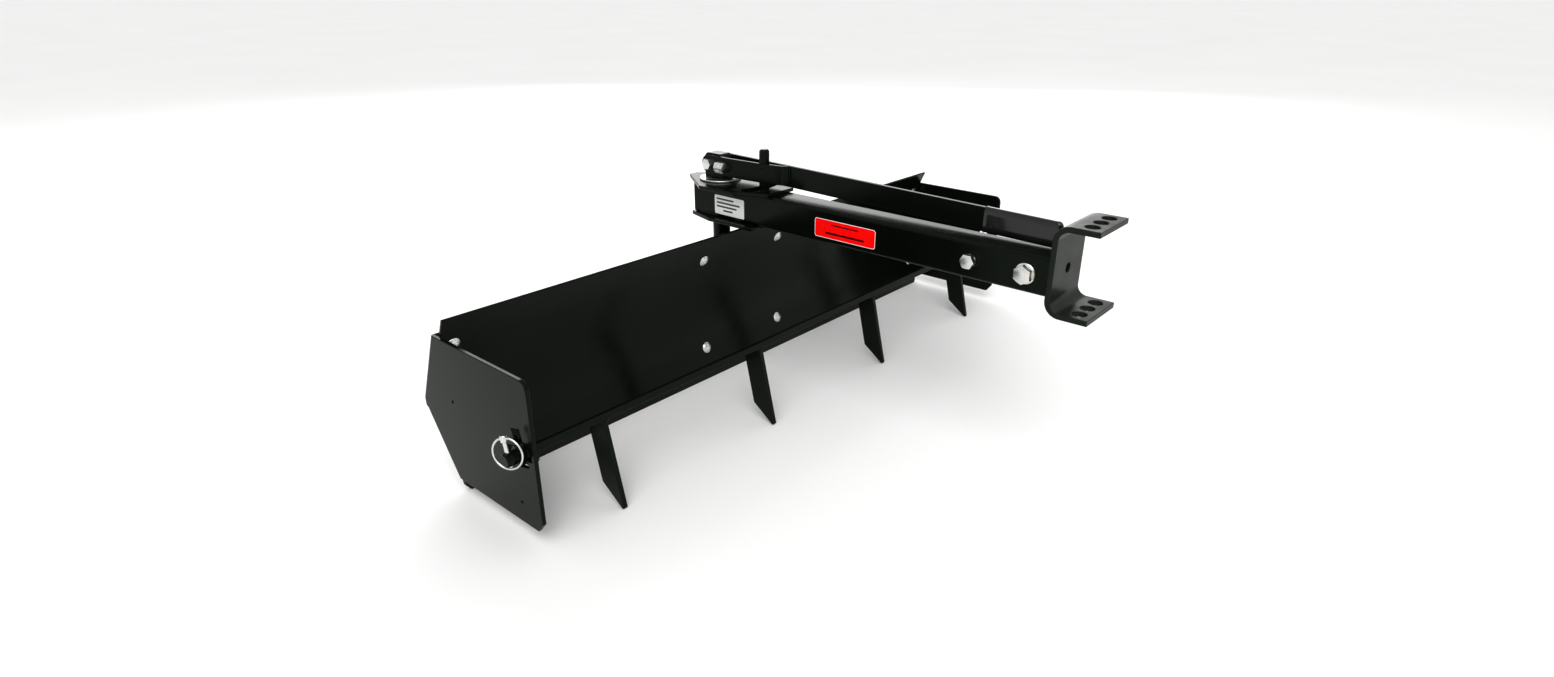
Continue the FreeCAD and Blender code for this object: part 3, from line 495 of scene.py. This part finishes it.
def hex_block(bm, flats, low, high, chamfer_low, chamfer_high):
    """A hexagonal head or nut, turned down by a 30 degree cone on the chosen ends."""
    half = flats / 2
    face = half * 0.96
    slant = math.tan(math.radians(30))

    def side(turn):
        return hex_radius(half, turn)

    def drop(turn):
        return (hex_radius(half, turn) - face) * slant

    profile = []
    if chamfer_low:
        profile += [(face, low), (side, lambda t: low + drop(t))]
    else:
        profile += [(side, low)]
    if chamfer_high:
        profile += [(side, lambda t: high - drop(t)), (face, high)]
    else:
        profile += [(side, high)]
    turned_profile(bm, profile, steps=72)


def threaded_end(bm, radius, low, high, pitch):
    """A threaded length of shank that ends in a small chamfer."""
    steps = 36
    rings_per_turn = 6
    depth = 0.55 * pitch
    count = max(rings_per_turn, int((high - low) / pitch * rings_per_turn))
    rings = []
    for k in range(count + 1):
        z = low + (high - low) * k / count
        ring = []
        for n in range(steps):
            turn = 2 * math.pi * n / steps
            phase = (z / pitch + n / steps) % 1.0
            r = radius - depth * abs(2 * phase - 1)
            r = min(r, radius - 1.2 * depth + (high - z))
            ring.append(Vector((r * math.cos(turn), r * math.sin(turn), z)))
        rings.append(ring)
    skin_rings(bm, rings)


def hex_bolts(node, flats, head, shank_r, pitch, washer_r=0.0, washer_t=0.0):
    """Hex bolts that stand for a CAD node: head, optional washer face, plain shank and threaded end."""
    bm = bmesh.new()
    for points in islands(node):
        place, length, _ = seat(points, True)
        plain_end = 0.72 * length
        thread_start = 0.70 * length
        start = len(bm.verts)
        hex_block(bm, flats, 0, head, True, False)
        if washer_t:
            rim = 0.3 * washer_t
            turned_profile(bm, [
                (washer_r - rim, head), (washer_r, head + rim),
                (washer_r, head + washer_t), (shank_r, head + washer_t),
            ])
        turned_profile(bm, [(shank_r, head), (shank_r, plain_end)], steps=36)
        threaded_end(bm, shank_r, thread_start, length, pitch)
        transformed(bm, start, place)
    piece = finish_piece(node + "_detail", bm, ZINC, body_of_node(node))
    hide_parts(node)
    return piece


def hex_nuts(node):
    """Chamfered nuts that stand for a CAD node."""
    bm = bmesh.new()
    for points in islands(node):
        place, length, reach = seat(points, False)
        start = len(bm.verts)
        hex_block(bm, 2 * reach * math.cos(math.pi / 6), 0, length, True, True)
        transformed(bm, start, place)
    piece = finish_piece(node + "_detail", bm, ZINC, body_of_node(node))
    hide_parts(node)
    return piece


def carriage_bolts():
    """Domed bolts: a smooth cap with a thin rim and a threaded shank behind it."""
    cap_r = 7.9 * MM
    cap_h = 3.6 * MM
    shank_r = 3.97 * MM
    pitch = 1.3 * MM
    sphere_r = (cap_r ** 2 + cap_h ** 2) / (2 * cap_h)
    steps = 10
    bm = bmesh.new()
    for points in islands("carriage_bolts"):
        place, length, _ = seat(points, True)
        start = len(bm.verts)
        dome = []
        for k in range(1, steps + 1):
            r = cap_r * k / steps
            dome.append((r, sphere_r - math.sqrt(sphere_r ** 2 - r ** 2)))
        dome[-1] = (cap_r - 0.15 * MM, cap_h - 0.5 * MM)
        dome += [(cap_r, cap_h - 0.25 * MM), (cap_r - 0.1 * MM, cap_h), (shank_r, cap_h)]
        turned_profile(bm, dome)
        threaded_end(bm, shank_r, cap_h, length, pitch)
        transformed(bm, start, place)
    piece = finish_piece("carriage_bolts_detail", bm, ZINC, "box")
    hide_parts("carriage_bolts")
    return piece


# ---- Softened CAD nodes --------------------------------------------------------------------------
SOFT_EDGES = {
    "moldboard": 0.5,
    "cutting_edge": 0.6,
    "end_plate_left": 0.7,
    "end_plate_right": 0.7,
    "corner_brackets": 0.5,
    "mast": 0.7,
    "post_brackets": 0.6,
    "fulcrum_block": 0.6,
    "drawbar_tube": 0.5,
    "top_index_plate": 0.7,
    "bottom_index_plate": 0.7,
    "hitch_bracket": 0.8,
    "lever_bar": 0.7,
    "lever_strap": 0.7,
    "scarifier_bar": 0.6,
    "shank_1": 0.7,
    "shank_2": 0.7,
    "shank_3": 0.7,
    "shank_4": 0.7,
    "pivot_washer": 0.6,
    "hitch_washers": 0.3,
    "post_collar": 0.4,
}
for node_name, edge in SOFT_EDGES.items():
    softened(node_name, edge * MM)


# ---- Weld beads ----------------------------------------------------------------------------------
def shank_welds():
    """Fillets where each shank meets the bar: one on each face and one behind the bar."""
    lines = []
    half_bar = 3.97 * MM
    proud = 0.4 * MM
    for number in range(1, 5):
        low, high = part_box("shank_%d" % number)
        x = (low.x + high.x) / 2 - BAR.x
        half_t = (high.x - low.x) / 2
        for side in (-1, 1):
            face = x + side * (half_t + proud)
            lines.append([LEAN @ Vector((face, u, -half_bar - proud)) for u in (-half_bar, half_bar)])
        behind = half_bar + proud
        lines.append([LEAN @ Vector((x + dx * half_t, behind, -half_bar + 0.2 * MM)) for dx in (-1, 1)])
    return welds("shank_welds", lines, 2.1 * MM, "scarifier")


def circle(centre, radius, axis, count=40):
    """Points round a circle about an axis letter."""
    points = []
    for k in range(count):
        turn = 2 * math.pi * k / count
        a = radius * math.cos(turn)
        b = radius * math.sin(turn)
        offset = {"X": (0, a, b), "Y": (a, 0, b), "Z": (a, b, 0)}[axis]
        points.append(Vector(centre) + Vector(offset))
    return points


def bar_end_welds():
    """A bead round each bar end, where it meets the bar."""
    lines = []
    for side in (-1, 1):
        x = side * (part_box("bar_end_right")[0].x - 0.6 * MM)
        lines.append((circle((x, BAR.y, BAR.z), 5.6 * MM, "X"), True))
    return welds("bar_end_welds", lines, 2.0 * MM, "scarifier")


def drawbar_welds():
    """Fillets along both sides of the drawbar, under the top plate and over the bottom plate."""
    low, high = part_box("drawbar_tube")
    inset = 1.4 * MM
    corner = 1.2 * MM
    lines = []
    for side in (-1, 1):
        x = side * (high.x - inset)
        for start, end in ((-112, -93), (-67, -46), (-22, 24)):
            lines.append([Vector((x, POST.y + y * MM, high.z - corner)) for y in (start, end)])
            lines.append([Vector((x, POST.y + y * MM, low.z + corner)) for y in (start + 8, end)])
    return welds("drawbar_welds", lines, 2.6 * MM, "drawbar")


def fork_welds():
    """The strap's bent end on the lever bar, before and behind."""
    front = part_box("lever_strap")[0].y - LEVER.y
    bar_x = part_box("lever_bar")[0].x
    lines = []
    for y in (front, front + 6.5 * MM):
        lines.append([FORK @ Vector((bar_x - 0.5 * MM, y, z * MM)) for z in (-11, 11)])
    return welds("fork_welds", lines, 2.0 * MM, "lever")


def latch_weld():
    """A bead round the latch pin, on top of its block."""
    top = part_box("latch_block")[1].z
    centre = middle("latch_pin")
    return welds("latch_weld", [(circle((centre.x, centre.y, top), 7.6 * MM, "Z"), True)], 1.8 * MM, "lever")


def post_welds():
    """Beads round the post on both brackets, along the mast, and under the fulcrum block."""
    lines = []
    proud = 0.3 * MM
    around_post = 13.2 * MM
    bracket_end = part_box("post_brackets")[0].y + proud
    for points in islands("post_brackets"):
        for z in (points[:, 2].max(), points[:, 2].min()):
            lines.append((circle((0, POST.y, z), around_post, "Z"), True))
            for start, end in ((-30, -16), (16, 30)):
                lines.append([Vector((x * MM, bracket_end, z)) for x in (start, end)])
    low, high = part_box("fulcrum_block")
    for y in (low.y - proud, high.y + proud):
        lines.append([Vector((x, y, low.z + proud)) for x in (low.x + 2 * MM, high.x - 2 * MM)])
    return welds("post_welds", lines, 2.3 * MM, "box")


def bracket_welds():
    """Beads that join the small corner angles to the end plates."""
    lines = []
    for points in islands("corner_brackets"):
        side = 1 if points[:, 0].mean() > 0 else -1
        outer = points[:, 0].max() if side > 0 else points[:, 0].min()
        near = points[np.abs(points[:, 0] - outer) < 0.2 * MM]
        rear = near[near[:, 1] > near[:, 1].max() - 3.5 * MM]
        ends = rear[np.argmin(rear[:, 2])], rear[np.argmax(rear[:, 2])]
        x = outer - side * 0.8 * MM
        lines.append([Vector((x, y + 0.4 * MM, z)) for _, y, z in ends])
    return welds("bracket_welds", lines, 1.7 * MM, "box")


shank_welds()
bar_end_welds()
drawbar_welds()
fork_welds()
latch_weld()
post_welds()
bracket_welds()


# ---- Fasteners, ring, grip and labels ------------------------------------------------------------
carriage_bolts()
hex_nuts("carriage_nuts")
hex_bolts("fork_bolts", flats=14.3 * MM, head=6.0 * MM, shank_r=4.76 * MM, pitch=1.6 * MM)
hex_nuts("fork_nuts")
hex_bolts(
    "hitch_bolt_small", flats=15.9 * MM, head=6.6 * MM, shank_r=5.56 * MM, pitch=1.8 * MM,
    washer_r=7.9 * MM, washer_t=2.6 * MM,
)
hex_bolts(
    "hitch_bolt_large", flats=19.05 * MM, head=8.0 * MM, shank_r=6.35 * MM, pitch=2.0 * MM,
    washer_r=12.1 * MM, washer_t=2.6 * MM,
)
hex_nuts("hitch_nuts")


def lynch_ring(side):
    """Spring-wire ring: one closed run of round wire, straight through the pin's head."""
    node = "lynch_ring_" + side
    hinge = "ring_%s_open" % side
    eye = joint_point(hinge)
    along = Vector(joint(hinge)["axis"]).normalized()
    down = LEAN.to_3x3() @ Vector((0, 0, -1))
    wire = 1.25 * MM
    straight = 6.0 * MM
    radius = 16.8 * MM
    drop = math.sqrt(radius ** 2 - straight ** 2)
    half_gap = math.asin(straight / radius)
    steps = 96
    path = []
    for k in range(steps + 1):
        turn = half_gap + (2 * math.pi - 2 * half_gap) * k / steps
        path.append(eye + down * (drop - radius * math.cos(turn)) + along * (radius * math.sin(turn)))
    path += [eye + along * (straight * t) for t in (-0.6, 0.0, 0.6)]
    normal = along.cross(down)
    rings = []
    for k, place in enumerate(path):
        tangent = (path[(k + 1) % len(path)] - path[k - 1]).normalized()
        rings.append(ring_of(place, normal, tangent.cross(normal), wire, wire, 14))
    bm = bmesh.new()
    skin_rings(bm, rings, True)
    piece = finish_piece(node + "_wire", bm, ZINC, "ring_" + side, math.radians(80))
    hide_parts(node)
    return piece


def grip():
    """A dipped sleeve: flat sides, round edges, a thick lip at the mouth and a nearly square closed end."""
    low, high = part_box("lever_grip")
    top, bottom = 14.25 * MM, -16.75 * MM
    half_h = (top - bottom) / 2
    centre_x = (low.x + high.x) / 2
    half_w = (high.x - low.x) / 2
    mouth = high.y - LEVER.y
    tip = low.y - LEVER.y
    corner = 7.0 * MM
    sections = 56
    sides = 40
    bm = bmesh.new()
    rings = []
    for k in range(sections + 1):
        y = mouth + (tip - mouth) * (1 - (1 - k / sections) ** 1.6)
        inward = min(1.0, (y - tip) / corner)
        rounding = corner * (1 - math.sqrt(max(0.0, 1 - (1 - inward) ** 2)))
        from_mouth = mouth - y
        lip = 1.0 - 0.07 * min(1.0, from_mouth / (2.2 * MM))
        lip += 0.05 * math.sin(min(1.0, from_mouth / (60 * MM)) * math.pi)
        thick = min(1.0, 0.45 + 0.55 * math.sqrt(min(1.0, (y - tip) / (4 * MM))))
        height = (half_h - rounding) * (0.985 if from_mouth > 1.5 * MM else 1.0)
        ring = []
        for n in range(sides):
            turn = 2 * math.pi * n / sides
            across = math.cos(turn)
            upward = math.sin(turn)
            bulge_x = math.copysign(abs(across) ** 0.55, across)
            bulge_z = math.copysign(abs(upward) ** 0.45, upward)
            x = centre_x - LEVER.x + half_w * lip * thick * bulge_x
            ring.append(FORK @ Vector((x, y, (top + bottom) / 2 + height * bulge_z)))
        rings.append(ring)
    skin_rings(bm, rings)
    piece = finish_piece("lever_grip_vinyl", bm, VINYL, "lever", math.radians(50))
    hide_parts("lever_grip")
    return piece


def rounded_corners(y_low, y_high, z_low, z_high, corner):
    """Outline of a rectangle with round corners, in (y, z)."""
    points = []
    steps = 8
    centres = (
        (y_high - corner, z_high - corner), (y_low + corner, z_high - corner),
        (y_low + corner, z_low + corner), (y_high - corner, z_low + corner),
    )
    for quarter, (y, z) in enumerate(centres):
        for k in range(steps + 1):
            turn = math.pi / 2 * (quarter + k / steps)
            points.append((y + corner * math.cos(turn), z + corner * math.sin(turn)))
    return points


def films(name, rectangles, corner, material, low, high):
    """Round-cornered films on the drawbar's left side, between two heights above its face.

    Every size is in millimetres. A rectangle is (y, y, z, z), from the post and from the floor.
    """
    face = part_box("drawbar_tube")[0].x
    bm = bmesh.new()
    for y_low, y_high, z_low, z_high in rectangles:
        outline = rounded_corners(
            POST.y + y_low * MM, POST.y + y_high * MM, z_low * MM, z_high * MM, corner * MM
        )
        skin_rings(bm, [[Vector((face - height * MM, y, z)) for y, z in outline] for height in (low, high)])
    return finish_piece(name, bm, material, "drawbar")


def labels():
    """A red label with a pale border and two plain dark bars, and a white one with plain grey bars."""
    top = 0.14
    ink = 0.17
    films("red_label_border", [(-289, -193, 232, 257)], 3.6, WHITE_FILM, 0.0, 0.06)
    films("red_label", [(-288.2, -193.8, 232.8, 256.2)], 2.9, RED_FILM, 0.06, top)
    dark_bars = [(-262, -220, 250.0, 251.6), (-272, -211, 238.0, 240.6)]
    films("red_label_bars", dark_bars, 0.3, DARK_INK, top, ink)
    films("white_label", [(-66.5, -9, 229.5, 257)], 2.2, WHITE_FILM, 0.0, top)
    grey_bars = []
    for row, (start, end) in enumerate(((13, 46), (13, 58), (13, 52), (26, 44))):
        bar_top = 253.0 - 5.4 * row
        grey_bars.append((-end, -start, bar_top - 2.4, bar_top))
    films("white_label_bars", grey_bars, 0.3, GREY_INK, top, ink)


lynch_ring("left")
lynch_ring("right")
grip()
labels()


# ---- CAD nodes that are shown as they are --------------------------------------------------------
for node_name, part in frame["nodes"].items():
    if not part.hide_render:
        part.data.materials.clear()
        part.data.materials.append(FINISH[SLOT_OF_NODE[node_name]])


# ---- Studio --------------------------------------------------------------------------------------
def floor():
    """One large square at ground level."""
    half = 30.0
    bm = bmesh.new()
    corners = ((-half, -half), (half, -half), (half, half), (-half, half))
    bm.faces.new([bm.verts.new((x, y, 0.0)) for x, y in corners])
    mesh = bpy.data.meshes.new("floor")
    bm.to_mesh(mesh)
    bm.free()
    mesh.materials.append(FLOOR)
    plane = bpy.data.objects.new("floor", mesh)
    bpy.context.scene.collection.objects.link(plane)


def area_light(name, place, target, size, power):
    """A white soft box that faces its target."""
    data = bpy.data.lights.new(name, "AREA")
    data.shape = "RECTANGLE"
    data.size, data.size_y = size
    data.energy = power
    lamp = bpy.data.objects.new(name, data)
    lamp.location = place
    lamp.rotation_euler = (Vector(target) - Vector(place)).to_track_quat("-Z", "Y").to_euler()
    bpy.context.scene.collection.objects.link(lamp)


def soft_sun(towards, strength):
    """Even light over the whole floor, with wide soft shadows."""
    data = bpy.data.lights.new("sun", "SUN")
    data.energy = strength
    data.angle = math.radians(50)
    lamp = bpy.data.objects.new("sun", data)
    lamp.rotation_euler = Vector(towards).to_track_quat("Z", "Y").to_euler()
    bpy.context.scene.collection.objects.link(lamp)


def world():
    """A white studio dome that is a little darker overhead."""
    dome = bpy.data.worlds.new("studio")
    dome.use_nodes = True
    tree = dome.node_tree
    place = tree.nodes.new("ShaderNodeTexCoord")
    split = tree.nodes.new("ShaderNodeSeparateXYZ")
    height = tree.nodes.new("ShaderNodeMapRange")
    height.inputs["From Min"].default_value = 0.0
    height.inputs["From Max"].default_value = 0.8
    height.inputs["To Min"].default_value = 0.92
    height.inputs["To Max"].default_value = 0.70
    tree.links.new(place.outputs["Generated"], split.inputs[0])
    tree.links.new(split.outputs["Z"], height.inputs["Value"])
    tree.links.new(height.outputs["Result"], tree.nodes["Background"].inputs["Strength"])
    tree.nodes["Background"].inputs["Color"].default_value = (1.0, 1.0, 1.0, 1.0)
    bpy.context.scene.world = dome
    bpy.context.scene.view_settings.view_transform = "Standard"
    bpy.context.scene.view_settings.gamma = 0.82


def camera():
    """The viewing angle: from the left, ahead and above, with a wide lens close by."""
    data = bpy.data.cameras.new("camera")
    data.sensor_width = 36.0
    data.lens = 19.619
    data.clip_start = 0.02
    data.clip_end = 200.0
    eye = bpy.data.objects.new("camera", data)
    yaw = Matrix.Rotation(-math.radians(49.304), 4, "Z")
    pitch = Matrix.Rotation(math.pi / 2 - math.radians(23.564), 4, "X")
    roll = Matrix.Rotation(math.radians(0.275), 4, "Z")
    place = Matrix.Translation((-0.87134, POST.y - 0.85873, 0.55340))
    eye.matrix_world = place @ (yaw @ pitch @ roll)
    bpy.context.scene.collection.objects.link(eye)
    bpy.context.scene.camera = eye


floor()
world()
soft_sun((-0.55, -0.35, 1.0), 1.1)
area_light("key", (-1.9, -1.6, 2.4), (0.0, 0.0, 0.15), (1.6, 1.6), 26)
area_light("rim", (1.2, 2.6, 1.7), (0.0, 0.0, 0.15), (2.4, 0.8), 22)
area_light("sheen", (2.6, 1.9, 1.05), (0.0, -0.05, 0.27), (2.8, 1.7), 24)
camera()
